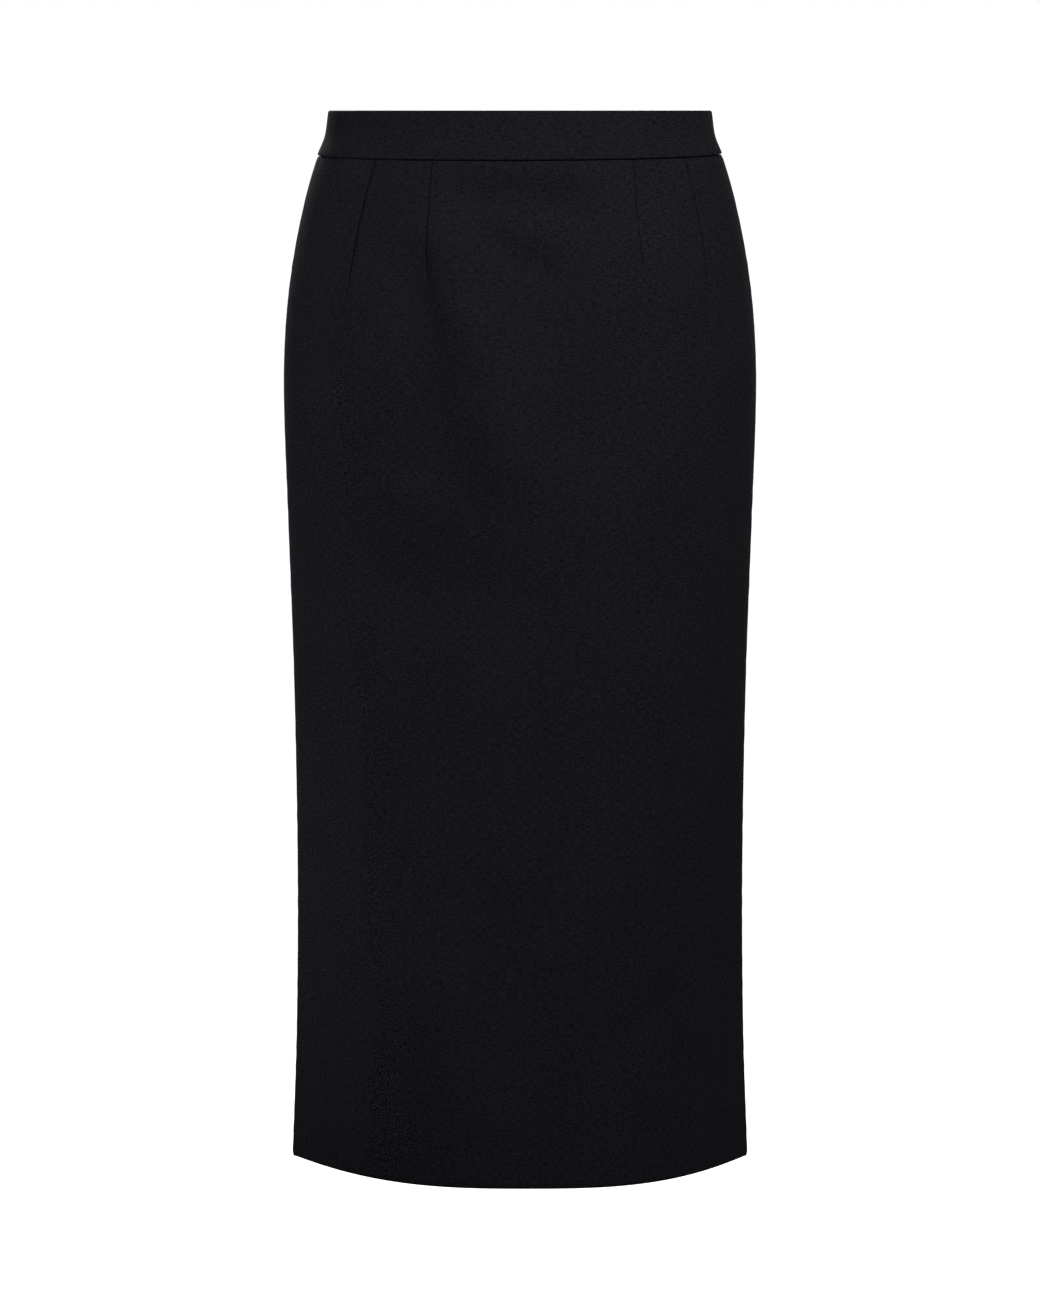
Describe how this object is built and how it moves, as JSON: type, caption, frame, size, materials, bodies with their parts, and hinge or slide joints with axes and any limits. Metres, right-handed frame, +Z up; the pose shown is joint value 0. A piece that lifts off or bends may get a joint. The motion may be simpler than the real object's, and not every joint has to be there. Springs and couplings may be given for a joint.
{
  "type": "pencil skirt",
  "caption": "High-waisted midi pencil skirt with a narrow shaped waistband, front and back darts, a concealed back zip and a walking vent, filled out and hollow.",
  "frame": {"origin": "middle of the waist, level with the top edge of the waistband", "axes": "+Z up, the skirt hangs below the origin; the front faces -Y; +X is the wearer's left"},
  "size_m": [0.3314, 0.2595, 0.743],
  "materials": {
    "crepe": "near-black wool-blend crepe, fine plain weave with faint crosswise slubs, matt",
    "zip_tape": "black woven polyester tape",
    "zip_nylon": "black nylon coil",
    "zip_enamel": "black enamel, satin"
  },
  "bodies": {
    "skirt": {"front_panel": "crepe", "back_panel_left": "crepe", "back_panel_right": "crepe", "waistband_front": "crepe", "waistband_back_left": "crepe", "waistband_back_right": "crepe", "vent_underlap": "crepe", "zip_tape_left": "zip_tape", "zip_tape_right": "zip_tape", "zip_coil": "zip_nylon", "zip_slider": "zip_enamel"},
    "pull": {"zip_pull": "zip_enamel"}
  },
  "joints": [
    {"name": "pull_swing", "type": "hinge", "parent": "skirt", "child": "pull", "pos_m": [0, 0.09777, -0.0066], "axis": [1, 0, 0], "range_deg": [0, 150]}
  ]
}
